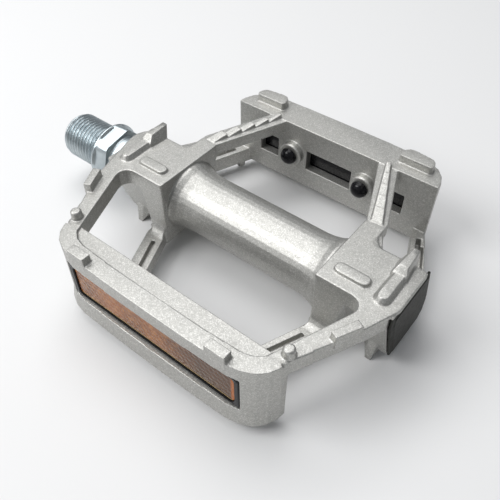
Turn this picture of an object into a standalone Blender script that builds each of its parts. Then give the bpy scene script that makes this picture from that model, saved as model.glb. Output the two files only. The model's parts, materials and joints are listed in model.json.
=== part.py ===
"""A die-cast aluminium platform pedal: platform, spindle, two rows of loose balls, reflectors and caps.

Lengths are in millimetres and become metres as each mesh is made. Outlines are drawn in the platform's
own frame: the spindle lies along X with its thread towards -X, the platform is centred on the origin,
-Y is the bar drawn in full, and +Z is up. The part's origin is the middle of the spindle's threaded end.
The platform looks the same after half a turn about the spindle, and its two ends mirror each other.
"""

import math

import bmesh
import bpy
from mathutils import Matrix, Vector

MM = 0.001

# Overall sizes
DECK_Z = 11.0               # height of the treads above the spindle's axis
PLATE_Z = 10.95             # the plates' and arms' treads
STRUT_Z = 10.9
GRIP_Z = 13.4               # height of the lugs, pins and pads that grip the shoe
GRIP_ROOT_Z = 9.0           # where they start, inside the casting
TOOTH_TIP_Z = 14.0          # the teeth behind the plates are the tallest grips
BOSS_PAD_Z = 11.95
RIB_Z = 12.4
RAMP_TEETH = 5
RAMP_Z = (11.15, 12.35)     # the foot and the top of each sawtooth
BOSS_INNER_X = 24.9         # the bosses' faces that meet the tube
BOSS_OUTER_X = 45.6         # the inboard boss's end, under its rounded tread plate
CAP_SEAT_X = 44.7           # the outboard boss's end, which the cap covers
PLATE_END_X = 45.9
TUBE_R = 8.74
BOSS_R = 8.3
BOSS_SIDE_Y = 11.2          # half the boss's width, where it is square
BOSS_SLANT = 5.8            # how far its lower front and upper rear edges are cut back
ARM_BOTTOM_Z = 6.0
STRUT_BOTTOM_Z = 7.4
GAP = 0.3                   # between pieces that touch
FOLD = 0.1                  # keeps one surface from lying in another's plane

# The bars across the two ends
BAR_INNER_Y = 34.3
BAR_FACE_Y = 43.1
BAR_BULGE = 0.4             # how far the middle of a bar's face stands out from its ends
FOOT_FLARE = 1.1            # how far the bar's foot stands out from its face
LEDGE_DROP = 0.8
RECESS_HALF_X = 27.4
RECESS_Z = (-5.6, 6.6)
RECESS_FLOOR_Y = 37.2
WINDOWS_X = ((-25.6, -18.6), (-8.0, 8.0), (18.6, 25.6))
WINDOW_Z = (-3.3, 3.6)

# Reflectors, and the pegs that hold each one through the bar's inner wall
HOUSING_SET_BACK = 0.6      # from the bar's face to the housing's
HOUSING_BACK = 1.4          # thickness behind the lens
HOUSING_END = 1.3           # width of the frame at the lens's ends
HOUSING_EDGE = 0.7          # and above and below it
LENS_SET_BACK = 0.4
PEG_X = 12.7
PEG_Z = -1.0
PEG_R = 1.7
PEG_HOLE_R = 2.0
PEG_BOSS_R = 3.9
PEG_BOSS_Y = 32.0
PEG_END_Y = 31.0
DOME_R = 2.7
DOME_HEIGHT = 2.0
DOME_BRIM = 0.3

# Spindle
TIP_X = -74.0
THREAD_END_X = -59.6
THREAD_R = 7.14             # a 9/16 inch pedal thread
THREAD_PITCH = 1.27         # 20 threads to the inch
THREAD_DEPTH = 0.7
THREAD_ROOT_R = THREAD_R - THREAD_DEPTH
TIP_R = 6.04
SHOULDER = 0.3              # the neck stands this far out of the collar, clear of the thread's crests
COLLAR_X = (-58.5, -52.5)
COLLAR_ACROSS_FLATS = 16.8
COLLAR_R = 9.3
COLLAR_TURN = math.radians(11.6)
NECK_R = 7.3
NECK_END_X = -45.8
CONE_NOSE_R = 6.0
CONE_NOSE_X = -42.4
SHAFT_R = 3.5
SPINDLE_END_X = 44.6
SPINDLE_END_R = 2.5
END_THREAD_X = 30.5         # where the shaft steps down for the cone and locknut

# Bearings
BALL_R = 1.5875             # eighth-inch balls
BALL_COUNT = 10
BALL_CIRCLE_R = 5.25
RACE_R = BALL_R + 0.13      # with the bearing's running clearance
INBOARD_BALLS_X = -40.5
OUTBOARD_BALLS_X = 36.5
CUP_R = 7.7
BORE_R = 8.0
TUBE_BORE_R = 5.6
CUP_SEAT = 3.6              # from the balls' plane to the cup's back
CUP_LIP = 3.0               # from the balls' plane to the cup's open end
CONE_R = 6.2
CONE_LENGTH = 4.0
WASHER_R = 5.6
WASHER_THICKNESS = 0.9
NUT_ACROSS_FLATS = 10.0
NUT_THICKNESS = 2.6
SEAL_BORE_R = 6.3
SEAL_THICKNESS = 1.2
CAP_THICKNESS = 0.9
CAP_SPIGOT = 1.9

ORIGIN_SHIFT = Matrix.Translation(Vector((-TIP_X, 0, 0)) * MM)
MERGE = 0.001
REACH = 50.0                # cutters run out to here, past every face
ROUND = 36
SMALL_ROUND = 14


def clear_scene():
    for obj in list(bpy.data.objects):
        bpy.data.objects.remove(obj)


def material(name, colour, metallic, roughness):
    made = bpy.data.materials.new(name)
    made.use_nodes = True
    shader = made.node_tree.nodes["Principled BSDF"]
    shader.inputs["Base Color"].default_value = (*colour, 1)
    shader.inputs["Metallic"].default_value = metallic
    shader.inputs["Roughness"].default_value = roughness
    return made


def make_object(name, bm, look=None, parent=None):
    """An object from a bmesh in millimetres. One without a material is a hidden cutter or union helper."""
    bmesh.ops.remove_doubles(bm, verts=bm.verts, dist=MERGE)
    bmesh.ops.connect_verts_nonplanar(bm, angle_limit=0.001, faces=bm.faces)
    bmesh.ops.recalc_face_normals(bm, faces=bm.faces)
    bm.transform(Matrix.Scale(MM, 4))
    mesh = bpy.data.meshes.new(name)
    bm.to_mesh(mesh)
    bm.free()
    obj = bpy.data.objects.new(name, mesh)
    bpy.context.scene.collection.objects.link(obj)
    obj.parent = parent
    if look is None:
        obj.hide_render = True
        obj.display_type = "WIRE"
    else:
        mesh.materials.append(look)
        mesh.shade_smooth()
        mesh.set_sharp_from_angle(angle=math.radians(30))
    return obj


def axis_empty(name, x):
    """An empty on the spindle's axis, at x in the platform's frame."""
    empty = bpy.data.objects.new(name, None)
    empty.matrix_world = ORIGIN_SHIFT @ Matrix.Translation(Vector((x, 0, 0)) * MM)
    bpy.context.scene.collection.objects.link(empty)
    return empty


# Shapes

def rounded(corners, steps=5):
    """An outline from (x, y) corners, or (x, y, radius) where the corner is an arc."""
    outline = []
    for i, corner in enumerate(corners):
        here = Vector(corner[:2])
        radius = corner[2] if len(corner) > 2 else 0
        if not radius:
            outline.append(here)
            continue
        back = (Vector(corners[i - 1][:2]) - here).normalized()
        ahead = (Vector(corners[(i + 1) % len(corners)][:2]) - here).normalized()
        half = back.angle(ahead) / 2
        centre = here + (back + ahead).normalized() * radius / math.sin(half)
        start = here + back * radius / math.tan(half) - centre
        end = here + ahead * radius / math.tan(half) - centre
        sweep = start.angle_signed(end)
        outline += [centre + Matrix.Rotation(-sweep * k / steps, 2) @ start for k in range(steps + 1)]
    return outline


def loft(bm, rings):
    """A closed solid through rings of 3-D points, capped at both ends."""
    made = [[bm.verts.new(point) for point in ring] for ring in rings]
    for low, high in zip(made, made[1:]):
        for i in range(len(low)):
            j = (i + 1) % len(low)
            bm.faces.new((low[i], low[j], high[j], high[i]))
    bm.faces.new(made[0])
    bm.faces.new(made[-1])


def prism(bm, outline, low, high):
    loft(bm, [[(x, y, z) for x, y in outline] for z in (low, high)])


def box(bm, x, y, z):
    prism(bm, [(x[0], y[0]), (x[1], y[0]), (x[1], y[1]), (x[0], y[1])], *z)


def hull(bm, points):
    made = [bm.verts.new(point) for point in points]
    bmesh.ops.convex_hull(bm, input=made)


def turned(profile, segments=ROUND, axis="X", closed=False):
    """A shape turned about X or Y from (along, radius) points. An open profile starts and ends on the axis."""
    bm = bmesh.new()
    along = {"X": lambda a, r: (a, r, 0), "Y": lambda a, r: (0, a, r)}[axis]
    verts = [bm.verts.new(along(a, r)) for a, r in profile]
    pairs = list(zip(verts, verts[1:])) + ([(verts[-1], verts[0])] if closed else [])
    edges = [bm.edges.new(pair) for pair in pairs]
    direction = (1, 0, 0) if axis == "X" else (0, 1, 0)
    bmesh.ops.spin(bm, geom=verts + edges, cent=(0, 0, 0), axis=direction,
                   angle=2 * math.pi, steps=segments, use_duplicate=False)
    bmesh.ops.remove_doubles(bm, verts=bm.verts, dist=MERGE)
    return bm


def moved(bm, offset):
    bm.transform(Matrix.Translation(offset))
    return bm


def arc(centre, radius, start, end, steps=6):
    """Points of an arc in a turned profile, angles in degrees from +X towards larger radius."""
    angles = [math.radians(start + (end - start) * k / steps) for k in range(steps + 1)]
    return [(centre[0] + radius * math.cos(a), centre[1] + radius * math.sin(a)) for a in angles]


def copies(bm, matrices):
    """The bmesh's shape once for each matrix, in one bmesh."""
    source = bpy.data.meshes.new("copied")
    bm.to_mesh(source)
    bm.free()
    joined = bmesh.new()
    for matrix in matrices:
        start = len(joined.verts)
        joined.from_mesh(source)
        joined.verts.ensure_lookup_table()
        bmesh.ops.transform(joined, matrix=matrix, verts=joined.verts[start:])
    bpy.data.meshes.remove(source)
    return joined


MIRROR_X = Matrix.Scale(-1, 4, (1, 0, 0))
HALF_TURN = Matrix.Rotation(math.pi, 4, "X")


def both_bars(bm):
    return copies(bm, (Matrix.Identity(4), HALF_TURN))


def four_corners(bm):
    return copies(bm, (Matrix.Identity(4), MIRROR_X, HALF_TURN, HALF_TURN @ MIRROR_X))


def add_group_boolean(obj, helpers, operation, name):
    """One Boolean with several helpers, which go in a collection of their own."""
    group = bpy.data.collections.new(name)
    bpy.context.scene.collection.children.link(group)
    for helper in helpers:
        group.objects.link(helper)
        bpy.context.scene.collection.objects.unlink(helper)
    modifier = obj.modifiers.new(name, "BOOLEAN")
    modifier.operation = operation
    modifier.operand_type = "COLLECTION"
    modifier.collection = group
    modifier.solver = "EXACT"


def add_boolean(obj, helper, operation):
    modifier = obj.modifiers.new(helper.name, "BOOLEAN")
    modifier.operation = operation
    modifier.object = helper
    modifier.solver = "EXACT"


# The platform: everything here is one casting

def bar_outline(grow=0.0):
    """Half-outline points of a bar's outer side, from +X round to -X, grown outwards at its foot."""
    corner = [(34.2, -BAR_INNER_Y), (33.9, -36.2), (32.7, -38.8), (30.7, -40.9), (27.6, -42.4)]
    face = [(x, -BAR_FACE_Y - BAR_BULGE * (1 - (x / 24) ** 2)) for x in (24, 16, 8, 0)]
    half = [(x, y - grow * min(1, (-y - BAR_INNER_Y) / 6)) for x, y in corner + face]
    return half + [(-x, y) for x, y in reversed(half[:-1])]


def bar():
    """The bar: a block with a flared foot, one ledge lower than the rim that is added to it."""
    bm = bmesh.new()
    levels = ((-DECK_Z, 0.6), (0.9 - DECK_Z, 1.0), (RECESS_Z[0] - 0.5, 0.1), (DECK_Z - LEDGE_DROP, 0.0))
    loft(bm, [[(x, y, z) for x, y in bar_outline(FOOT_FLARE * part)] for z, part in levels])
    return both_bars(bm)


def rim():
    """The raised outer part of the bar's tread."""
    bm = bmesh.new()
    step = [(29.6, -36.2), (27.4, -37.9), (24.8, -38.6), (14.0, -39.1), (0.0, -39.2)]
    inner = [(-x, y) for x, y in step] + [(x, y) for x, y in reversed(step[:-1])]
    outer = [(x * 1.002, y) for x, y in bar_outline(0.06)[1:-1]]
    outline = outer + [(-32.5, -35.4)] + inner + [(32.5, -35.4)]
    prism(bm, outline, DECK_Z - 2.5, DECK_Z)
    return both_bars(bm)


def plate_and_arm(end):
    """The boss's tread plate, with the given outer end, and the arm that splays out to the bar's corner."""
    bm = bmesh.new()
    arm = [(BOSS_INNER_X, -11.3, 0.6), (39.5, -11.3, 3.0), (30.2, -34.4), (29.0, -37.4), (32.6, -37.4),
           (34.0, -34.1), (38.7, -25.2), (42.5, -17.2)]
    back = [(30.4, 5.6, 0.8), (30.6, 12.0), (BOSS_INNER_X, 11.6)]
    prism(bm, rounded(arm + end + back), ARM_BOTTOM_Z, PLATE_Z)
    return bm


def plates_and_arms():
    """The outboard plates, with straight ends, and the inboard ones, which bulge over their boss."""
    straight = plate_and_arm([(PLATE_END_X, -8.6, 3.0), (PLATE_END_X, 5.6, 1.5)])
    bulged = plate_and_arm([(45.3, -7.0), (46.6, -2.8), (47.2, 0.2), (47.0, 2.1), (46.2, 3.9),
                            (45.2, 4.9), (44.0, 5.6)])
    return copies(straight, (Matrix.Identity(4), HALF_TURN)), copies(bulged, (MIRROR_X, HALF_TURN @ MIRROR_X))


def strut():
    """The diagonal strut that runs in from the boss to the other bar."""
    bm = bmesh.new()
    outline = rounded([
        (BOSS_INNER_X + 0.3, 6.3), (30.3, 6.3), (30.5, 13.6, 3.0), (22.3, 33.6), (21.0, 37.2),
        (14.8, 37.2), (16.0, 34.0), (BOSS_INNER_X + 0.3, 11.8, 3.0)])
    prism(bm, outline, STRUT_BOTTOM_Z, STRUT_Z)
    return four_corners(bm)


def arm_channels():
    """The channels cast into the inner sides of the arms and struts, to save metal."""
    bm = bmesh.new()
    arm = rounded([(33.2, -31.0), (35.2, -31.9), (40.9, -18.6), (38.9, -17.2)])
    prism(bm, arm, ARM_BOTTOM_Z - 2, DECK_Z - 2.4)
    slot = rounded([(25.7, 15.4), (26.7, 15.8), (19.5, 32.6), (18.5, 32.2)])
    prism(bm, slot, STRUT_BOTTOM_Z - 2, DECK_Z - 2.0)
    return four_corners(bm)


def bosses():
    """The two bosses: slanted blocks that carry the tread plates, square where the struts leave them."""
    bm = bmesh.new()
    top, side, wide = DECK_Z - 0.4, 6.0, BOSS_SIDE_Y
    rings = []
    for x, slant in ((BOSS_INNER_X + FOLD, FOLD), (30.3, FOLD), (33.5, BOSS_SLANT), (BOSS_OUTER_X, BOSS_SLANT)):
        short = wide - slant
        section = [(-wide, top), (short, top), (wide, -side), (wide, -top), (-short, -top), (-wide, side)]
        rings.append([(x, y, z) for y, z in section])
    loft(bm, rings)
    return copies(bm, (Matrix.Identity(4), MIRROR_X))


def strut_coves():
    """The coves where each strut's inner surface curves up into the boss's wall."""
    bm = bmesh.new()
    radius, wall, floor = 4.2, 11.0, STRUT_BOTTOM_Z + 0.2
    curve = [math.radians(90 * k / 6) for k in range(7)]
    section = [(wall + radius * (1 - math.sin(a)), floor - radius * (1 - math.cos(a))) for a in curve]
    section = [(wall - 1, floor + 1), (wall + radius, floor + 1)] + section + [(wall - 1, floor - radius)]
    slope = 0.4
    rings = [[(x - slope * max(0, y - 12), y, z) for y, z in section] for x in (BOSS_INNER_X + 0.5, 30.0)]
    loft(bm, rings)
    return four_corners(bm)


def grips():
    """What stands above the treads: lugs, pins, pads, ribs, teeth and ramps."""
    shapes = (bar_lug, arm_lug, pin, bar_pad, boss_pad, rib, tooth, ramp)
    return [(shape.__name__, four_corners(shape())) for shape in shapes]


def bar_lug():
    bm = bmesh.new()
    box(bm, (18.7, 24.3), (-BAR_FACE_Y - 0.35, -40.9), (GRIP_ROOT_Z, GRIP_Z))
    return bm


def arm_lug():
    bm = bmesh.new()
    prism(bm, [(39.4, -25.1), (42.4, -19.0), (40.4, -18.0), (37.5, -24.2)], GRIP_ROOT_Z, GRIP_Z)
    return bm


def pin():
    """The round pin over the bar's corner."""
    bm = bmesh.new()
    rings = ((GRIP_ROOT_Z, 1.6), (GRIP_Z - 0.4, 1.45), (GRIP_Z, 1.1))
    angles = [2 * math.pi * k / SMALL_ROUND for k in range(SMALL_ROUND)]
    loft(bm, [[(r * math.cos(a), r * math.sin(a), z) for a in angles] for z, r in rings])
    return moved(bm, (33.1, -33.0, 0))


def bar_pad():
    bm = bmesh.new()
    outline = rounded([(20.0, 37.9, 0.8), (30.0, 37.9, 0.8), (30.0, 41.6, 2.6), (20.0, 42.6, 2.6)])
    prism(bm, outline, GRIP_ROOT_Z, GRIP_Z)
    return bm


def boss_pad():
    """A low, round-ended pad along the boss."""
    bm = bmesh.new()
    outline = rounded([(27.5, -8.0, 1.4), (36.8, -8.0, 1.4), (36.8, -4.9, 1.4), (27.5, -4.9, 1.4)], 3)
    prism(bm, outline, GRIP_ROOT_Z + 1, BOSS_PAD_Z)
    return bm


def rib():
    """The raised rib along the plate's outer edge, in front of its tooth."""
    bm = bmesh.new()
    foot = rounded([(39.0, -9.9, 1.8), (43.0, -9.9, 1.8), (42.8, 0.9), (39.2, 0.9)], 3)
    crown = rounded([(39.7, -9.1, 1.2), (42.4, -9.1, 1.2), (42.2, 0.9), (39.9, 0.9)], 3)
    levels = ((GRIP_ROOT_Z + 1, foot), (RIB_Z - 1.2, foot), (RIB_Z, crown))
    loft(bm, [[(x, y, z) for x, y in outline] for z, outline in levels])
    return bm


def tooth():
    """The long tooth that runs back from the rib and overhangs the plate's rear edge."""
    bm = bmesh.new()
    root = [(38.75, -0.65, 10), (43.15, -0.65, 10), (38.95, -0.65, 12.1), (42.95, -0.65, 12.1),
            (38.3, 5.2, 10.8)]
    crest = [(x, y, TOOTH_TIP_Z) for x, y in ((39.7, 1.0), (42.1, 1.0), (40.2, 7.6), (41.8, 7.6))]
    heel = [(39.6, 6.4, 7.0), (42.4, 6.4, 7.0), (39.6, 5.0, 6.4), (42.4, 5.0, 6.4)]
    hull(bm, root + crest + heel)
    return bm


def ramp():
    """The sawteeth along the strut, each rising away from the boss and narrower than the last."""
    bm = bmesh.new()
    near = Vector((26.2, 12.3)), Vector((29.3, 12.7))
    far = Vector((18.0, 34.6)), Vector((19.3, 35.1))
    nudge = (far[0] - near[0]).normalized() * FOLD / 2
    foot, peak = RAMP_Z
    steps = [(0, foot, nudge)]
    for k in range(1, RAMP_TEETH):
        steps += [(k, peak, -nudge), (k, foot, nudge)]
    steps.append((RAMP_TEETH, peak, -nudge))
    rings = []
    for k, top, shift in steps:
        left, right = (a.lerp(b, k / RAMP_TEETH) + shift for a, b in zip(near, far))
        rings.append([(*left, GRIP_ROOT_Z + 1), (*right, GRIP_ROOT_Z + 1), (*right, top), (*left, top)])
    loft(bm, rings)
    return bm


def peg_bosses():
    """Round bosses on the bars' inner walls, where the reflectors' pegs come through."""
    bm = turned([(-BAR_INNER_Y - 1, 0), (-BAR_INNER_Y - 1, PEG_BOSS_R), (-PEG_BOSS_Y - 0.4, PEG_BOSS_R),
                 (-PEG_BOSS_Y, PEG_BOSS_R - 0.4), (-PEG_BOSS_Y, 0)], 20, "Y")
    return four_corners(moved(bm, (PEG_X, 0, PEG_Z)))


def recesses():
    """The reflectors' recesses, the windows in the walls behind them and the pegs' holes."""
    bm = bmesh.new()
    box(bm, (-RECESS_HALF_X, RECESS_HALF_X), (-REACH, -RECESS_FLOOR_Y), RECESS_Z)
    for x in WINDOWS_X:
        box(bm, x, (-RECESS_FLOOR_Y - 1, -PEG_END_Y), WINDOW_Z)
    return both_bars(bm)


def peg_holes():
    start, end = -RECESS_FLOOR_Y - 1, -PEG_END_Y
    bm = turned([(start, 0), (start, PEG_HOLE_R), (end, PEG_HOLE_R), (end, 0)], SMALL_ROUND, "Y")
    return four_corners(moved(bm, (PEG_X, 0, PEG_Z)))


def cap_seat():
    """The outboard boss stops short of its tread plate, so that the cap fits under the plate's edge."""
    bm = bmesh.new()
    box(bm, (CAP_SEAT_X, REACH), (-14, 14), (-14, DECK_Z - 1.1))
    return bm


def bore():
    """The bore through the tube, wider at each end for its bearing cup."""
    left = INBOARD_BALLS_X + CUP_SEAT + GAP
    right = OUTBOARD_BALLS_X - CUP_SEAT - GAP
    return turned([(-REACH, 0), (-REACH, BORE_R), (left, BORE_R), (left, TUBE_BORE_R),
                   (right, TUBE_BORE_R), (right, BORE_R), (REACH, BORE_R), (REACH, 0)])


def barrel():
    """The tube and the two round bosses, joined by cones."""
    end = BOSS_OUTER_X - 0.5
    half = [(end, 0), (end, BOSS_R), (28.0, BOSS_R), (28.0, 10.4), (24.0, 10.2), (22.4, 9.5), (20.0, 8.95),
            (17.5, TUBE_R)]
    return turned(half + [(-x, r) for x, r in reversed(half)])


def platform_body(look, parent):
    body = make_object("platform_body", barrel(), look, parent)
    outboard_plates, inboard_plates = plates_and_arms()
    shapes = [("boss", bosses()), ("strut_cove", strut_coves()), ("outboard_plates", outboard_plates),
              ("inboard_plates", inboard_plates), ("strut", strut()), ("bar", bar()), ("rim", rim()),
              ("peg_boss", peg_bosses())] + grips()
    added = [make_object("add_" + name, bm, parent=parent) for name, bm in shapes]
    add_group_boolean(body, added, "UNION", "platform_shapes")
    cuts = (("channel", arm_channels()), ("recess", recesses()), ("peg_hole", peg_holes()),
            ("cap_seat", cap_seat()), ("bore", bore()))
    cutters = [make_object("cut_" + name, bm, parent=parent) for name, bm in cuts]
    add_group_boolean(body, cutters, "DIFFERENCE", "platform_cuts")


# Reflectors

def reflector(end, turn, looks, parent):
    """One reflector: a black housing with two pegs, its lens, and the two domed caps on the pegs."""
    face = -BAR_FACE_Y + HOUSING_SET_BACK
    back = -RECESS_FLOOR_Y - GAP
    seat = back - HOUSING_BACK
    half_x = RECESS_HALF_X - GAP
    low, high = RECESS_Z[0] + GAP, RECESS_Z[1] - GAP
    bm = bmesh.new()
    box(bm, (-half_x, half_x), (face, back), (low, high))
    housing = make_object(end + "_reflector_housing", turned_about_x(bm, turn), looks["black"], parent)
    bm = bmesh.new()
    opening_x = (HOUSING_END - half_x, half_x - HOUSING_END)
    box(bm, opening_x, (-REACH, seat), (low + HOUSING_EDGE, high - HOUSING_EDGE))
    pocket = make_object("cut_" + end + "_pocket", turned_about_x(bm, turn), parent=parent)
    root = back - HOUSING_BACK / 2
    pegs = turned([(root, 0), (root, PEG_R), (-PEG_END_Y, PEG_R), (-PEG_END_Y, 0)], SMALL_ROUND, "Y")
    pegs = copies(moved(pegs, (PEG_X, 0, PEG_Z)), (turn, turn @ MIRROR_X))
    add_boolean(housing, pocket, "DIFFERENCE")
    add_boolean(housing, make_object("add_" + end + "_pegs", pegs, parent=parent), "UNION")
    left, right = HOUSING_END + GAP - half_x, half_x - HOUSING_END - GAP
    bottom, top = low + HOUSING_EDGE + GAP, high - HOUSING_EDGE - GAP
    outline = rounded([(left, bottom, 0.6), (right, bottom, 1.8), (right, top, 1.8), (left, top, 0.6)])
    bm = bmesh.new()
    loft(bm, [[(x, y, z) for x, z in outline] for y in (face + LENS_SET_BACK, seat - GAP)])
    make_object(end + "_reflector_lens", turned_about_x(bm, turn), looks["amber"], parent)
    for side, mirror in (("left", MIRROR_X), ("right", Matrix.Identity(4))):
        dome = copies(retainer_cap(), (turn @ mirror,))
        make_object(f"{end}_{side}_retainer_cap", dome, looks["black"], parent)


def retainer_cap():
    """A domed cap, hollow over the end of its peg."""
    foot, roof, hollow_r = GAP - PEG_BOSS_Y, GAP - PEG_END_Y, PEG_R + GAP
    angles = [math.radians(a) for a in (90, 70, 50, 30, 12, 0)]
    crown = [(foot + DOME_BRIM + DOME_HEIGHT * math.cos(a), DOME_R * math.sin(a)) for a in angles]
    profile = [(roof, 0), (roof, hollow_r), (foot, hollow_r), (foot, DOME_R)] + crown
    return moved(turned(profile, 18, "Y"), (PEG_X, 0, PEG_Z))


def turned_about_x(bm, turn):
    bm.transform(turn)
    return bm


# Spindle and bearings

def collar():
    """The spanner collar: a round flange with six flats cut into all but its threaded side."""
    half_flat = math.acos(COLLAR_ACROSS_FLATS / 2 / COLLAR_R)
    angles = [COLLAR_TURN + math.pi / 3 * flat + half_flat * part
              for flat in range(6) for part in (-1, -0.5, 0, 0.5, 1)]
    start, end = COLLAR_X
    levels = ((start, COLLAR_R - 0.9, False), (start + 0.6, COLLAR_R, False), (start + 1.0, COLLAR_R, False),
              (start + 1.7, COLLAR_R, True), (end, COLLAR_R, True))
    bm = bmesh.new()
    rings = []
    for x, radius, flats in levels:
        ring = []
        for k, angle in enumerate(angles):
            part = (-1, -0.5, 0, 0.5, 1)[k % 5]
            r = COLLAR_ACROSS_FLATS / 2 / math.cos(half_flat * part) if flats else radius
            ring.append((x, -r * math.sin(angle), r * math.cos(angle)))
        rings.append(ring)
    loft(bm, rings)
    return bm


def thread_profile():
    """Rings at the thread's pitch, from the tip to the collar."""
    points = [(TIP_X, 0), (TIP_X, TIP_R)]
    crests = int((THREAD_END_X - TIP_X) / THREAD_PITCH)
    for k in range(crests):
        x = TIP_X + 0.6 + THREAD_PITCH * k
        points += [(x, THREAD_ROOT_R), (x + THREAD_PITCH * 0.45, THREAD_R), (x + THREAD_PITCH * 0.6, THREAD_R)]
    return points + [(THREAD_END_X, THREAD_ROOT_R)]


def spindle(look, parent):
    """The whole spindle: thread, shoulder, neck, the inboard bearing's cone, and the shaft to the locknut."""
    shoulder_x = COLLAR_X[0] - SHOULDER
    neck = [(shoulder_x - SHOULDER, THREAD_ROOT_R), (shoulder_x, NECK_R), (NECK_END_X, NECK_R),
            (NECK_END_X, CONE_NOSE_R), (CONE_NOSE_X, CONE_NOSE_R)]
    cone = arc((INBOARD_BALLS_X, BALL_CIRCLE_R), RACE_R, 205, 270)
    shaft = [(INBOARD_BALLS_X + 1.5, SHAFT_R), (END_THREAD_X, SHAFT_R - 0.5), (END_THREAD_X, SPINDLE_END_R),
             (SPINDLE_END_X - 0.4, SPINDLE_END_R), (SPINDLE_END_X, SPINDLE_END_R - 0.4), (SPINDLE_END_X, 0)]
    obj = make_object("spindle", turned(thread_profile() + neck + cone + shaft, 30), look, parent)
    add_boolean(obj, make_object("add_collar", collar(), parent=parent), "UNION")


def bearing_cup(name, x, side, look, parent):
    """A pressed cup, its race open towards its own end of the spindle. side is -1 inboard, 1 outboard."""
    race = arc((0, BALL_CIRCLE_R), RACE_R, 90, 12)
    profile = [(-CUP_LIP, CUP_R), (-CUP_LIP, BALL_CIRCLE_R + RACE_R)] + race
    profile += [(CUP_SEAT, race[-1][1]), (CUP_SEAT, CUP_R)]
    profile = [(x - side * a, r) for a, r in profile]
    make_object(name, turned(profile, closed=True), look, parent)


def balls(name, x, look, parent):
    for k in range(BALL_COUNT):
        angle = 2 * math.pi * k / BALL_COUNT
        bm = bmesh.new()
        bmesh.ops.create_icosphere(bm, subdivisions=2, radius=BALL_R)
        moved(bm, (x, BALL_CIRCLE_R * math.cos(angle), BALL_CIRCLE_R * math.sin(angle)))
        make_object(f"{name}_{k + 1:02d}", bm, look, parent)


def outboard_cone(look, parent):
    """The adjustable cone, screwed onto the spindle's end."""
    x, inner = OUTBOARD_BALLS_X, SPINDLE_END_R + GAP
    race = arc((x, BALL_CIRCLE_R), RACE_R, -90, -25)
    profile = [(x - 0.6, inner), (x - 0.6, race[0][1])] + race
    profile += [(x + 2.2, CONE_R), (x + CONE_LENGTH, CONE_R), (x + CONE_LENGTH, inner)]
    make_object("outboard_cone", turned(profile, closed=True), look, parent)


def keyed_washer(look, parent):
    left, inner = OUTBOARD_BALLS_X + CONE_LENGTH + GAP, SPINDLE_END_R + GAP
    right = left + WASHER_THICKNESS
    profile = [(left, inner), (left, WASHER_R), (right, WASHER_R), (right, inner)]
    make_object("keyed_washer", turned(profile, closed=True), look, parent)


def locknut(look, parent):
    left = OUTBOARD_BALLS_X + CONE_LENGTH + WASHER_THICKNESS + 2 * GAP
    right, inner = left + NUT_THICKNESS, SPINDLE_END_R + GAP
    radius = NUT_ACROSS_FLATS / math.sqrt(3)
    angles = [math.pi / 3 * k for k in range(6)]
    bm = bmesh.new()
    loft(bm, [[(x, radius * math.cos(a), radius * math.sin(a)) for a in angles] for x in (left, right)])
    nut = make_object("locknut", bm, look, parent)
    hole = turned([(left - 1, 0), (left - 1, inner), (right + 1, inner), (right + 1, 0)])
    add_boolean(nut, make_object("cut_locknut_hole", hole, parent=parent), "DIFFERENCE")


def dust_seal(look, parent):
    """The plastic ring that closes the inboard end of the bore, round the spindle."""
    left = 0.2 - BOSS_OUTER_X
    right = left + SEAL_THICKNESS
    profile = [(left, SEAL_BORE_R), (left, CUP_R), (right, CUP_R), (right, SEAL_BORE_R)]
    make_object("inboard_dust_seal", turned(profile, closed=True), look, parent)


def end_cap(look, parent):
    """The black cap over the outboard boss's end, with a spigot in the bore."""
    inner = CAP_SEAT_X + GAP
    outer = inner + CAP_THICKNESS
    outline = rounded([(-10.9, 6.0), (-10.9, 9.6), (7.6, 9.6, 0.8), (11.5, -3.2, 1.5), (11.5, -8.0, 1.5),
                       (8.9, -10.9, 1.5), (-5.7, -10.9, 0.8)], 3)
    panel = [(-9.5, 5.9), (-9.5, 8.6), (6.7, 8.6), (10.3, -3.4), (10.3, -7.5), (8.4, -9.7), (-4.8, -9.7)]
    bm = bmesh.new()
    loft(bm, [[(x, y, z) for y, z in outline] for x in (inner, outer - 0.3)])
    face = bmesh.new()
    loft(face, [[(x, y, z) for y, z in panel] for x in (outer - 0.6, outer)])
    end, spigot_r = inner - CAP_SPIGOT, CUP_R - 1.3
    spigot = turned([(inner + 0.4, 0), (inner + 0.4, CUP_R), (end, CUP_R), (end, spigot_r),
                     (inner - 0.2, spigot_r), (inner - 0.2, 0)])
    cap = make_object("outboard_dust_cap", bm, look, parent)
    add_boolean(cap, make_object("add_cap_spigot", spigot, parent=parent), "UNION")
    add_boolean(cap, make_object("add_cap_face", face, parent=parent), "UNION")


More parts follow.
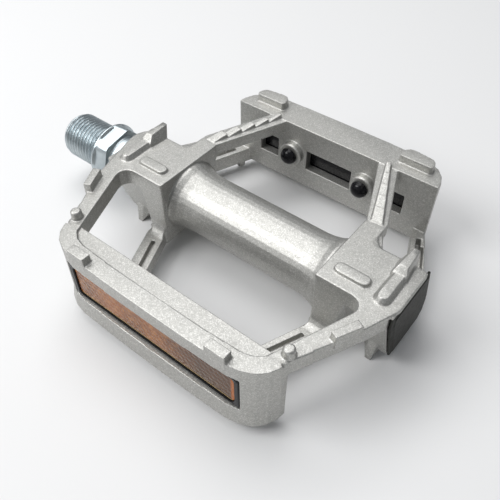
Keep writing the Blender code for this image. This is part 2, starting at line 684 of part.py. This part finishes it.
def main():
    clear_scene()
    looks = {
        "casting": material("sand_silver_casting", (0.60, 0.59, 0.57), 0.85, 0.45),
        "steel": material("zinc_plated_steel", (0.62, 0.66, 0.70), 1.0, 0.25),
        "race": material("hardened_steel", (0.50, 0.50, 0.52), 1.0, 0.2),
        "black": material("black_plastic", (0.02, 0.02, 0.02), 0.0, 0.4),
        "amber": material("amber_lens", (0.45, 0.17, 0.03), 0.0, 0.15),
    }
    root = axis_empty("spindle_axis", 0)
    spin = axis_empty("platform_spin_axis", 0)
    inboard = axis_empty("inboard_balls_axis", 0)
    outboard = axis_empty("outboard_balls_axis", 0)
    platform_body(looks["casting"], spin)
    reflector("front", Matrix.Identity(4), looks, spin)
    reflector("rear", HALF_TURN, looks, spin)
    bearing_cup("inboard_bearing_cup", INBOARD_BALLS_X, -1, looks["race"], spin)
    bearing_cup("outboard_bearing_cup", OUTBOARD_BALLS_X, 1, looks["race"], spin)
    dust_seal(looks["black"], spin)
    end_cap(looks["black"], spin)
    spindle(looks["steel"], root)
    outboard_cone(looks["race"], root)
    keyed_washer(looks["steel"], root)
    locknut(looks["steel"], root)
    balls("inboard_ball", INBOARD_BALLS_X, looks["race"], inboard)
    balls("outboard_ball", OUTBOARD_BALLS_X, looks["race"], outboard)


main()
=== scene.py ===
"""The looks of a die-cast platform pedal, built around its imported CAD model."""

import json
import math

import bmesh
import bpy
from mathutils import Matrix, Vector


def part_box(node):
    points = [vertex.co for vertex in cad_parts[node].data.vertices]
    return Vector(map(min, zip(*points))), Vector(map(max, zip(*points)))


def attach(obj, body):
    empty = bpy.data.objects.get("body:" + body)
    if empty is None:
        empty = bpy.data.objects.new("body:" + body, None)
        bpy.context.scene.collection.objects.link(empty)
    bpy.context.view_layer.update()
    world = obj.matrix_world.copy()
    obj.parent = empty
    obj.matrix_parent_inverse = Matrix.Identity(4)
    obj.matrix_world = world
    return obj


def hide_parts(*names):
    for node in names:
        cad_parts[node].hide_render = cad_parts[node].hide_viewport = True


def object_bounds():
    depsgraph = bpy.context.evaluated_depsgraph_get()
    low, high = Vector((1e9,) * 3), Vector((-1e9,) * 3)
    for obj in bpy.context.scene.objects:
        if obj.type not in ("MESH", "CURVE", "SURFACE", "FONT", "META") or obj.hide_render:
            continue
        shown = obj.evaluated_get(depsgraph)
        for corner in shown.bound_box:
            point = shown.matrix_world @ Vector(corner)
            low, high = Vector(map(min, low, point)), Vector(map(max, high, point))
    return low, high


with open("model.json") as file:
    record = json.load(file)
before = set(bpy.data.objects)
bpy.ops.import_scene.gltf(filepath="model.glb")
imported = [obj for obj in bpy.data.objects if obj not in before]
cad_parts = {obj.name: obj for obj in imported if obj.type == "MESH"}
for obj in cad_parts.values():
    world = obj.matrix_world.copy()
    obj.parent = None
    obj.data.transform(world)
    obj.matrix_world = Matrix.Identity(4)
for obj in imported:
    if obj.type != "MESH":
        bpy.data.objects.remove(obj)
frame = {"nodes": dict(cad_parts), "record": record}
cad_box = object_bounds()
nodes = frame["nodes"]

MM = 0.001
CENTRE_X = 0.074            # the platform's mid-plane, from the spindle's threaded end
ENDS = (("front", -1.0), ("rear", 1.0))     # each bar, and the way it faces along Y
SIDES = ("left", "right")
MIX_COLOURS = (6, 7)        # the colour mix node's two colour inputs


# Materials

def new_material(name):
    made = bpy.data.materials.new(name)
    made.use_nodes = True
    tree = made.node_tree
    return made, tree, tree.nodes["Principled BSDF"]


def add_node(tree, kind, values=None, **settings):
    node = tree.nodes.new(kind)
    for key, value in settings.items():
        setattr(node, key, value)
    for key, value in (values or {}).items():
        node.inputs[key].default_value = value
    return node


def object_coords(tree):
    return add_node(tree, "ShaderNodeTexCoord").outputs["Object"]


def noise(tree, scale, detail=2.0, roughness=0.5):
    node = add_node(tree, "ShaderNodeTexNoise", {"Scale": scale, "Detail": detail, "Roughness": roughness})
    tree.links.new(object_coords(tree), node.inputs["Vector"])
    return node.outputs["Fac"]


def remap(tree, value, low, high, start=0.0, end=1.0):
    node = add_node(tree, "ShaderNodeMapRange",
                    {"From Min": low, "From Max": high, "To Min": start, "To Max": end})
    tree.links.new(value, node.inputs["Value"])
    return node.outputs["Result"]


def mixed_colour(tree, factor, first, second):
    """The first colour where factor is 0, the second where it is 1. Each is a tuple or a socket."""
    node = add_node(tree, "ShaderNodeMix", data_type="RGBA")
    for index, colour in zip(MIX_COLOURS, (first, second)):
        if isinstance(colour, tuple):
            node.inputs[index].default_value = (*colour, 1)
        else:
            tree.links.new(colour, node.inputs[index])
    tree.links.new(factor, node.inputs[0])
    return node.outputs[2]


def bump(tree, heights, shader):
    """Adds bumps one over another, each a (height, strength, distance)."""
    normal = None
    for height, strength, distance in heights:
        node = add_node(tree, "ShaderNodeBump", {"Strength": strength, "Distance": distance})
        tree.links.new(height, node.inputs["Height"])
        if normal:
            tree.links.new(normal, node.inputs["Normal"])
        normal = node.outputs["Normal"]
    tree.links.new(normal, shader.inputs["Normal"])


def casting_material():
    """Sand-silver paint on a die casting: fine metal flakes in it, and a slightly uneven skin."""
    made, tree, shader = new_material("sand_silver_casting")
    flakes = add_node(tree, "ShaderNodeTexVoronoi", {"Scale": 5200.0})
    tree.links.new(object_coords(tree), flakes.inputs["Vector"])
    flake = add_node(tree, "ShaderNodeSeparateColor")
    tree.links.new(flakes.outputs["Color"], flake.inputs["Color"])
    bright = remap(tree, flake.outputs["Red"], 0.55, 1.0, 0.0, 0.65)
    mottle = remap(tree, noise(tree, 900.0, 4.0, 0.6), 0.35, 0.68)
    base = mixed_colour(tree, mottle, (0.40, 0.396, 0.376), (0.45, 0.446, 0.424))
    colour = mixed_colour(tree, bright, base, (0.72, 0.715, 0.69))
    tree.links.new(colour, shader.inputs["Base Color"])
    shader.inputs["Metallic"].default_value = 0.85
    rough = remap(tree, flake.outputs["Green"], 0.0, 1.0, 0.40, 0.56)
    tree.links.new(rough, shader.inputs["Roughness"])
    bump(tree, ((noise(tree, 260.0, 2.0), 0.18, 0.0002),
                (flake.outputs["Blue"], 0.22, 0.00003),
                (noise(tree, 3000.0, 2.0), 0.25, 0.00005)), shader)
    return made


def zinc_material():
    made, tree, shader = new_material("zinc_plated_steel")
    cloud = remap(tree, noise(tree, 350.0, 3.0), 0.3, 0.7)
    tree.links.new(mixed_colour(tree, cloud, (0.42, 0.475, 0.50), (0.54, 0.59, 0.61)),
                   shader.inputs["Base Color"])
    shader.inputs["Metallic"].default_value = 1.0
    tree.links.new(remap(tree, noise(tree, 1200.0, 2.0), 0.2, 0.8, 0.32, 0.42), shader.inputs["Roughness"])
    return made


def steel_material():
    made, tree, shader = new_material("hardened_steel")
    cloud = remap(tree, noise(tree, 500.0, 2.0), 0.3, 0.7)
    tree.links.new(mixed_colour(tree, cloud, (0.46, 0.46, 0.48), (0.58, 0.58, 0.60)),
                   shader.inputs["Base Color"])
    shader.inputs["Metallic"].default_value = 1.0
    shader.inputs["Roughness"].default_value = 0.2
    bump(tree, ((noise(tree, 2500.0, 1.0), 0.1, 0.00002),), shader)
    return made


def black_material(name, colour, rough, grain, strength):
    made, tree, shader = new_material(name)
    cloud = remap(tree, noise(tree, 700.0, 3.0), 0.3, 0.7)
    lighter = tuple(min(1.0, 1.7 * c) for c in colour)
    tree.links.new(mixed_colour(tree, cloud, colour, lighter), shader.inputs["Base Color"])
    tree.links.new(remap(tree, noise(tree, grain, 2.0), 0.25, 0.75, rough - 0.06, rough + 0.08),
                   shader.inputs["Roughness"])
    shader.inputs["Specular IOR Level"].default_value = 0.2
    bump(tree, ((noise(tree, grain, 2.0), strength, 0.0001),), shader)
    return made


def above(tree, value, limit, softness):
    """1 where value is past the limit and 0 below it, with a soft step between."""
    return remap(tree, value, limit - softness, limit + softness)


def amber_material():
    """Amber acrylic: painted glints on small prism cells over its inboard part, a painted dark reflection over its
    outboard part, a painted glow at its outboard end and a painted highlight along one long edge.
    """
    made, tree, shader = new_material("amber_lens")
    cells = add_node(tree, "ShaderNodeTexVoronoi", {"Scale": 1000.0})
    tree.links.new(object_coords(tree), cells.inputs["Vector"])
    split = add_node(tree, "ShaderNodeSeparateColor")
    tree.links.new(cells.outputs["Color"], split.inputs["Color"])
    place_in = add_node(tree, "ShaderNodeSeparateXYZ")
    tree.links.new(object_coords(tree), place_in.inputs["Vector"])
    edge_side = add_node(tree, "ShaderNodeMath", operation="MULTIPLY")
    tree.links.new(place_in.outputs["Y"], edge_side.inputs[0])
    tree.links.new(place_in.outputs["Z"], edge_side.inputs[1])
    patch = remap(tree, noise(tree, 90.0, 2.0), 0.30, 0.70)
    colour = mixed_colour(tree, patch, (0.150, 0.055, 0.018), (0.30, 0.100, 0.022))
    # Painted glints: random prism cells made lighter in colour, standing in for light caught by the prisms.
    painted_prism_glint = remap(tree, split.outputs["Red"], 0.60, 1.0, 0.0, 0.5)
    colour = mixed_colour(tree, painted_prism_glint, colour, (0.48, 0.20, 0.05))
    # Painted dark reflection: the lens's outboard part is darkened in its colour.
    outboard_part = above(tree, place_in.outputs["X"], 0.083, 0.006)
    painted_dark_reflection = remap(tree, outboard_part, 0.0, 1.0, 0.0, 0.85)
    colour = mixed_colour(tree, painted_dark_reflection, colour, (0.060, 0.034, 0.020))
    # Painted glow: a bright orange strip at the lens's outboard end, as if lit through the acrylic.
    painted_end_glow = above(tree, place_in.outputs["X"], 0.0988, 0.0003)
    colour = mixed_colour(tree, painted_end_glow, colour, (0.42, 0.115, 0.012))
    # Painted highlight: a cream-gold strip along one long edge of each lens.
    painted_edge_highlight = above(tree, edge_side.outputs[0], 0.000167, 0.000006)
    colour = mixed_colour(tree, painted_edge_highlight, colour, (0.46, 0.34, 0.17))
    tree.links.new(colour, shader.inputs["Base Color"])
    shader.inputs["Roughness"].default_value = 0.14
    shader.inputs["IOR"].default_value = 1.49
    shader.inputs["Specular IOR Level"].default_value = 0.25
    shader.inputs["Coat Weight"].default_value = 0.15
    shader.inputs["Coat Roughness"].default_value = 0.05
    bump(tree, ((cells.outputs["Distance"], 0.12, 0.0002),), shader)
    return made


casting = casting_material()
zinc = zinc_material()
steel = steel_material()
black = black_material("black_plastic", (0.005, 0.005, 0.006), 0.14, 1500.0, 0.03)
cap_black = black_material("black_cap_plastic", (0.020, 0.020, 0.017), 0.55, 900.0, 0.45)
amber = amber_material()


# Meshes

def set_material(obj, material):
    obj.data.materials.clear()
    obj.data.materials.append(material)


def shade(obj, angle=35):
    obj.data.shade_smooth()
    obj.data.set_sharp_from_angle(angle=math.radians(angle))


def place(obj, body, slot, material, *replaced):
    set_material(obj, material)
    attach(obj, body)
    if replaced:
        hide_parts(*replaced)
    return obj


def object_from(name, bm):
    mesh = bpy.data.meshes.new(name)
    bmesh.ops.recalc_face_normals(bm, faces=bm.faces)
    bm.to_mesh(mesh)
    bm.free()
    obj = bpy.data.objects.new(name, mesh)
    bpy.context.scene.collection.objects.link(obj)
    return obj


def baked(obj):
    """The object with its modifiers applied."""
    graph = bpy.context.evaluated_depsgraph_get()
    mesh = bpy.data.meshes.new_from_object(obj.evaluated_get(graph))
    obj.modifiers.clear()
    obj.data = mesh
    return obj


def corner_block(bm, outline, low, high, across, turn):
    """A small block of casting at one of the platform's four corners.

    Its outline is in millimetres off the platform's centre.
    across mirrors it to the other boss, and turn gives it half a turn about the spindle.
    """
    rings = [[bm.verts.new((CENTRE_X + across * x * MM, turn * y * MM, turn * z * MM)) for x, y in outline]
             for z in (low, high)]
    bottom, top = rings
    faces = [bm.faces.new(bottom), bm.faces.new(top)]
    for k in range(len(outline)):
        j = (k + 1) % len(outline)
        faces.append(bm.faces.new((bottom[k], bottom[j], top[j], top[k])))
    bmesh.ops.recalc_face_normals(bm, faces=faces)


def softened(node, name, voxel, passes, keep, fillets=()):
    """A copy of a node's shape, with any filler blocks added and every edge rounded a little."""
    bm = bmesh.new()
    bm.from_mesh(nodes[node].data)
    bmesh.ops.remove_doubles(bm, verts=bm.verts, dist=1e-6)
    for outline, low, high in fillets:
        for across in (1, -1):
            for turn in (1, -1):
                corner_block(bm, outline, low, high, across, turn)
    obj = object_from(name, bm)
    remesh = obj.modifiers.new("remesh", "REMESH")
    remesh.mode = "VOXEL"
    remesh.voxel_size = voxel
    smooth = obj.modifiers.new("smooth", "SMOOTH")
    smooth.factor = 0.5
    smooth.iterations = passes
    thin = obj.modifiers.new("thin", "DECIMATE")
    thin.ratio = keep
    baked(obj)
    obj.data.shade_smooth()
    return obj


# Blocks that fill a corner, each an outline in (x, y), then its lower and upper height: where a strut meets its
# tread plate, and where an arm meets its bar, beside the pin
FILLETS = (
    (((30.0, 5.2), (33.6, 5.2), (32.3, 5.9), (31.3, 6.9), (30.7, 8.1), (30.45, 9.6), (30.0, 9.6)), 6.4, 10.88),
    (((32.6, -36.0), (34.1, -35.4), (34.35, -34.2), (36.9, -29.2), (35.6, -28.8)), 6.2, 10.8),
)


def platform():
    body = softened("platform_body", "platform_casting", 0.0002, 2, 0.12, FILLETS)
    place(body, "platform", "casting", casting, "platform_body")


def outboard_cap():
    cap = softened("outboard_dust_cap", "outboard_cap_cover", 0.00022, 2, 0.5)
    place(cap, "platform", "black_cap", cap_black, "outboard_dust_cap")


def lathe(name, profile, centre, axis, segments=48):
    """A shape turned about the axis through centre, from (along, radius) points that start and end on it."""
    side = axis.orthogonal().normalized()
    other = axis.cross(side)
    bm = bmesh.new()
    rings = []
    for along, radius in profile:
        middle = centre + axis * along
        if radius < 1e-9:
            rings.append([bm.verts.new(middle)])
            continue
        angles = [2 * math.pi * k / segments for k in range(segments)]
        rings.append([bm.verts.new(middle + radius * (side * math.cos(a) + other * math.sin(a)))
                      for a in angles])
    for low, high in zip(rings, rings[1:]):
        for k in range(segments):
            j = (k + 1) % segments
            corners = [low[k % len(low)], low[j % len(low)], high[j % len(high)], high[k % len(high)]]
            bm.faces.new(dict.fromkeys(corners))
    return object_from(name, bm)


CROWN_FOOT = 0.28           # where a dome's round crown starts, as a part of its height
CROWN_R = 0.94              # the crown's radius, as a part of the brim's
CROWN_STEPS = 12


def retainers():
    """The domed caps pressed over the reflectors' pegs: a thin brim and a tall round crown."""
    for end, out in ENDS:
        for side in SIDES:
            node = f"{end}_{side}_retainer_cap"
            low, high = (Vector(corner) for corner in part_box(node))
            middle = (low + high) / 2
            foot = low.y if out < 0 else high.y
            height = high.y - low.y
            radius = (high.x - low.x) / 2
            crown = [(height * (CROWN_FOOT + (1 - CROWN_FOOT) * math.sin(a)), radius * CROWN_R * math.cos(a))
                     for a in (math.pi / 2 * k / CROWN_STEPS for k in range(CROWN_STEPS))]
            profile = [(0.0, 0.0), (0.0, radius * 0.96), (height * 0.05, radius), (height * 0.14, radius),
                       (height * 0.19, radius * 0.965)] + crown + [(height, 0.0)]
            dome = lathe(end + "_" + side + "_dome", profile, Vector((middle.x, foot, middle.z)),
                         Vector((0, -out, 0)))
            shade(dome, 50)
            place(dome, "platform", "black_plastic", black, node)


FRAME_BACK_Y = 0.0375       # the reflector frame's back, from the spindle's axis
FRAME_FACE_Y = 0.0425
POCKET_Y = 0.0392
LENS_FACE_Y = 0.0421
PEG_END_Y = 0.031
PEG_R = 0.0017
PEG_IN_FRAME = 0.0005       # how far a peg's root goes into the frame
FRAME_END = 0.0013          # the frame's width at the lens's ends, and above and below it
FRAME_EDGE = 0.0007
FRAME_BEVEL = 0.0002
LENS_GAP = 0.0001
LENS_R = 0.0014             # the lens's corners
LENS_STEP = 0.0002          # the spacing of the lens's points
LENS_ROLL = 0.0002          # how far in from its outline the lens's edge rolls off
PRISM_BORDER = 0.0004
PRISM_RELIEF = 0.00010
PRISM_PITCH = 0.0018
CORNER_STEPS = 6


def rounded_ring(bm, middle, half_x, half_z, radius, y):
    """One ring of points round a rounded rectangle that faces along Y."""
    ring = []
    for sx, sz, start in ((1, 1, 0), (-1, 1, 90), (-1, -1, 180), (1, -1, 270)):
        for k in range(CORNER_STEPS + 1):
            angle = math.radians(start + 90 * k / CORNER_STEPS)
            x = sx * (half_x - radius) + radius * math.cos(angle)
            z = sz * (half_z - radius) + radius * math.sin(angle)
            ring.append(bm.verts.new((middle.x + x, y, middle.z + z)))
    return ring


def skin(bm, rings):
    """Faces from each ring of points to the next, and one over each end."""
    for low, high in zip(rings, rings[1:]):
        for k in range(len(low)):
            j = (k + 1) % len(low)
            bm.faces.new((low[k], low[j], high[j], high[k]))
    bm.faces.new(rings[0])
    bm.faces.new(rings[-1])


def reflector_frame(end, out):
    """The black frame round a lens, with the two pegs that hold it to the bar."""
    node = end + "_reflector_housing"
    low, high = (Vector(corner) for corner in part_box(node))
    middle, half_x, half_z = (low + high) / 2, (high.x - low.x) / 2, (high.z - low.z) / 2
    below_face = FRAME_FACE_Y - FRAME_BEVEL
    ring_sizes = ((0.0, 0.0, 0.0006, FRAME_BACK_Y),
                  (0.0, 0.0, 0.0006, below_face),
                  (FRAME_BEVEL, FRAME_BEVEL, 0.0006, FRAME_FACE_Y),
                  (FRAME_END - FRAME_BEVEL, FRAME_EDGE - FRAME_BEVEL, 0.0016, FRAME_FACE_Y),
                  (FRAME_END, FRAME_EDGE, 0.0015, below_face),
                  (FRAME_END, FRAME_EDGE, 0.0015, POCKET_Y))
    bm = bmesh.new()
    skin(bm, [rounded_ring(bm, middle, half_x - in_x, half_z - in_z, radius, out * y)
              for in_x, in_z, radius, y in ring_sizes])
    for side in SIDES:
        cap_low, cap_high = (Vector(corner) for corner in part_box(f"{end}_{side}_retainer_cap"))
        centre = (cap_low + cap_high) / 2
        skin(bm, [rounded_ring(bm, centre, PEG_R, PEG_R, PEG_R * 0.999, out * y)
                  for y in (FRAME_BACK_Y + PEG_IN_FRAME, PEG_END_Y)])
    frame_piece = object_from(end + "_reflector_frame", bm)
    shade(frame_piece, 40)
    place(frame_piece, "platform", "black_plastic", black, node)


def prism_height(x, z, pitch):
    """How high a field of hexagonal pyramids stands at this point, from 0 to 1."""
    row_height = pitch * math.sqrt(3) / 2
    row = math.floor(z / row_height)
    best = pitch
    for r in (row, row + 1):
        shift = pitch / 2 if r % 2 else 0.0
        column = round((x - shift) / pitch)
        dx, dz = x - column * pitch - shift, z - r * row_height
        slant = dz * math.sqrt(3) / 2
        best = min(best, max(abs(dx), abs(dx / 2 + slant), abs(dx / 2 - slant)))
    return max(0.0, 1 - 2 * best / pitch)


def lens(end, out):
    """A reflector's lens: a rounded panel whose face is a field of low hexagonal prisms inside a plain border."""
    low, high = (Vector(corner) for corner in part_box(end + "_reflector_housing"))
    middle = (low + high) / 2
    half_x = (high.x - low.x) / 2 - FRAME_END - LENS_GAP
    half_z = (high.z - low.z) / 2 - FRAME_EDGE - LENS_GAP
    flat_x, flat_z = half_x - LENS_R, half_z - LENS_R
    columns, rows = round(2 * half_x / LENS_STEP), round(2 * half_z / LENS_STEP)
    bm = bmesh.new()
    grid = {}
    for i in range(columns + 1):
        for j in range(rows + 1):
            x, z = -half_x + 2 * half_x * i / columns, -half_z + 2 * half_z * j / rows
            dx, dz = max(0.0, abs(x) - flat_x), max(0.0, abs(z) - flat_z)
            over = math.hypot(dx, dz)
            if dx and dz:
                shrink = max(dx, dz) / over
                x = math.copysign(flat_x + dx * shrink, x)
                z = math.copysign(flat_z + dz * shrink, z)
                depth = LENS_R - over * shrink
            else:
                depth = min(half_x - abs(x), half_z - abs(z))
            inside = min(1.0, max(0.0, (depth - PRISM_BORDER) / PRISM_BORDER))
            fall = PRISM_RELIEF * max(0.0, 1 - depth / LENS_ROLL)
            height = PRISM_RELIEF * prism_height(x, z, PRISM_PITCH) * inside - fall
            grid[i, j] = bm.verts.new((middle.x + x, out * (LENS_FACE_Y + height), middle.z + z))
    for i in range(columns):
        for j in range(rows):
            bm.faces.new((grid[i, j], grid[i + 1, j], grid[i + 1, j + 1], grid[i, j + 1]))
    walls = bmesh.ops.extrude_edge_only(bm, edges=[e for e in bm.edges if e.is_boundary])["geom"]
    for vert in walls:
        if isinstance(vert, bmesh.types.BMVert):
            vert.co.y = out * (POCKET_Y + LENS_GAP)
    bmesh.ops.holes_fill(bm, edges=[e for e in bm.edges if e.is_boundary])
    panel = object_from(end + "_lens_panel", bm)
    shade(panel, 12)
    place(panel, "platform", "amber_lens", amber, end + "_reflector_lens")


# The spindle, in millimetres

TIP_R = 6.04
THREAD_R = 7.14
THREAD_DEPTH = 0.80
THREAD_PITCH = 1.27
THREAD_START = 0.1
THREAD_END = 14.4
THREAD_STEPS = 220
SPINDLE_SEGMENTS = 120
COLLAR = (15.5, 21.5)
COLLAR_R = 9.3
COLLAR_FLAT_R = 8.4
COLLAR_TURN = math.radians(11.6)


def thread_radius(x, angle):
    """The thread's radius, where its rounded crests fade in at the tip and out at its end."""
    phase = (x / THREAD_PITCH - angle / (2 * math.pi)) % 1.0
    crest = 1 - abs(2 * phase - 1)
    crest = min(1.0, max(0.0, 1.3 * crest - 0.12))
    fade = min(1.0, max(0.0, (x - 0.2) / 1.4)) * min(1.0, max(0.0, (THREAD_END - x) / 1.3))
    return THREAD_R - THREAD_DEPTH * (1 - crest * fade)


def collar_radius(angle):
    turned = (angle - COLLAR_TURN + math.pi / 6) % (math.pi / 3) - math.pi / 6
    return min(COLLAR_R, COLLAR_FLAT_R / math.cos(turned))


def turned(profile):
    """Round rings, from (x, radius) points."""
    return [(x, lambda angle, radius=radius: radius) for x, radius in profile]


def hexagonal(profile):
    """Rings that follow the spanner collar's flats, from (x, how much smaller) points."""
    return [(x, lambda angle, less=less: collar_radius(angle) - less) for x, less in profile]


def threaded():
    """Rings along the helical thread, held under a cone at the tip."""
    rings = []
    for k in range(1, THREAD_STEPS + 1):
        x = THREAD_START + (THREAD_END - THREAD_START) * k / THREAD_STEPS
        limit = TIP_R + x * 1.3
        rings.append((x, lambda angle, x=x, limit=limit: min(limit, thread_radius(x, angle))))
    return rings


def spindle():
    """The spindle as one skin: helical thread, spanner collar, neck and the shaft in the bearings."""
    start, end = COLLAR
    minor = THREAD_R - THREAD_DEPTH
    tip_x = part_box("spindle")[1][0] / MM
    rings = turned(((0.0, TIP_R - 1.2), (0.0, TIP_R - 0.1), (0.08, TIP_R)))
    rings += threaded()
    rings += turned(((THREAD_END + 0.3, minor), (start - 0.15, minor), (start, minor + 0.15),
                     (start, COLLAR_R - 1.0), (start + 0.1, COLLAR_R - 0.85), (start + 0.55, COLLAR_R - 0.1),
                     (start + 0.7, COLLAR_R), (start + 1.0, COLLAR_R), (start + 1.15, COLLAR_R - 0.05)))
    rings += hexagonal(((start + 1.6, 0.0), (end - 0.25, 0.0), (end - 0.05, 0.12), (end, 0.3)))
    rings += turned(((end, 7.55), (end + 0.2, 7.35), (end + 0.5, 7.3), (28.0, 7.3), (28.2, 7.2), (28.2, 6.1),
                     (28.3, 6.0), (31.5, 6.0), (31.8, 5.0), (32.2, 4.2), (32.9, 3.66), (33.5, 3.53),
                     (35.0, 3.5), (104.4, 3.0), (104.5, 2.5), (tip_x - 0.4, 2.5), (tip_x, 2.1)))
    angles = [2 * math.pi * k / SPINDLE_SEGMENTS for k in range(SPINDLE_SEGMENTS)]
    bm = bmesh.new()
    skin(bm, [[bm.verts.new(Vector((x, -radius(a) * math.sin(a), radius(a) * math.cos(a))) * MM) for a in angles]
              for x, radius in rings])
    obj = object_from("threaded_spindle", bm)
    shade(obj, 38)
    place(obj, "spindle", "plated_steel", zinc, "spindle")


def carried_over():
    """The pieces inside the bearings keep their CAD shapes, shaded smooth."""
    finishes = {"bearing_steel": steel, "plated_steel": zinc, "black_plastic": black}
    for part in frame["record"]["subparts"]:
        node = part["node"]
        if nodes[node].hide_render:
            continue
        set_material(nodes[node], finishes[part["material_slot"]])
        for face in nodes[node].data.polygons:
            face.use_smooth = True


platform()
outboard_cap()
retainers()
for end, out in ENDS:
    reflector_frame(end, out)
    lens(end, out)
spindle()
carried_over()


# Floor, light and camera

def camera():
    """The reference view: from above the front bar's outboard corner."""
    eye = Vector((142.17, -90.93, 114.74)) * MM
    right = Vector((0.7856, 0.6187, 0.0021))
    back = Vector((0.4209, -0.5369, 0.7311)).normalized()
    right = (right - back * right.dot(back)).normalized()
    up = back.cross(right)
    data = bpy.data.cameras.new("camera")
    data.sensor_width = 36.0
    data.lens = 42.3
    data.clip_start = 0.005
    obj = bpy.data.objects.new("camera", data)
    bpy.context.scene.collection.objects.link(obj)
    rotation = Matrix((right, up, back)).transposed().to_4x4()
    obj.matrix_world = Matrix.Translation(eye) @ rotation
    bpy.context.scene.camera = obj


FLOOR_GAP = 0.0002          # between the resting pedal and the floor


def floor():
    bm = bmesh.new()
    bmesh.ops.create_grid(bm, x_segments=2, y_segments=2, size=3.0)
    obj = object_from("floor", bm)
    obj.location = (CENTRE_X, 0, cad_box[0][2] - FLOOR_GAP)
    made, _, shader = new_material("pale_floor")
    shader.inputs["Base Color"].default_value = (0.76, 0.76, 0.76, 1)
    shader.inputs["Roughness"].default_value = 0.9
    shader.inputs["Specular IOR Level"].default_value = 0.1
    set_material(obj, made)


def softbox(name, direction, distance, size, power):
    """A square area light that faces the platform from the given direction."""
    data = bpy.data.lights.new(name, "AREA")
    data.shape = "SQUARE"
    data.size = size
    data.energy = power
    obj = bpy.data.objects.new(name, data)
    bpy.context.scene.collection.objects.link(obj)
    away = Vector(direction).normalized() * distance
    obj.location = Vector((CENTRE_X, 0, 0)) + away
    obj.rotation_euler = (-away).to_track_quat("-Z", "Y").to_euler()


def lights():
    """A softbox over the rear, one left of the camera, and a sky that looks brighter than it lights."""
    world = bpy.data.worlds.new("studio")
    bpy.context.scene.world = world
    world.use_nodes = True
    tree = world.node_tree
    background = tree.nodes["Background"]
    background.inputs["Color"].default_value = (0.93, 0.96, 1.0, 1)
    seen = add_node(tree, "ShaderNodeLightPath").outputs["Is Camera Ray"]
    tree.links.new(remap(tree, seen, 0.0, 1.0, 0.27, 0.85), background.inputs["Strength"])
    softbox("overhead", (-0.30, 0.20, 0.92), 0.8, 0.7, 4.3)
    softbox("front_left", (-0.46, -0.56, 0.68), 0.7, 0.40, 3.4)


camera()
floor()
lights()
bpy.context.scene.view_settings.view_transform = "Standard"
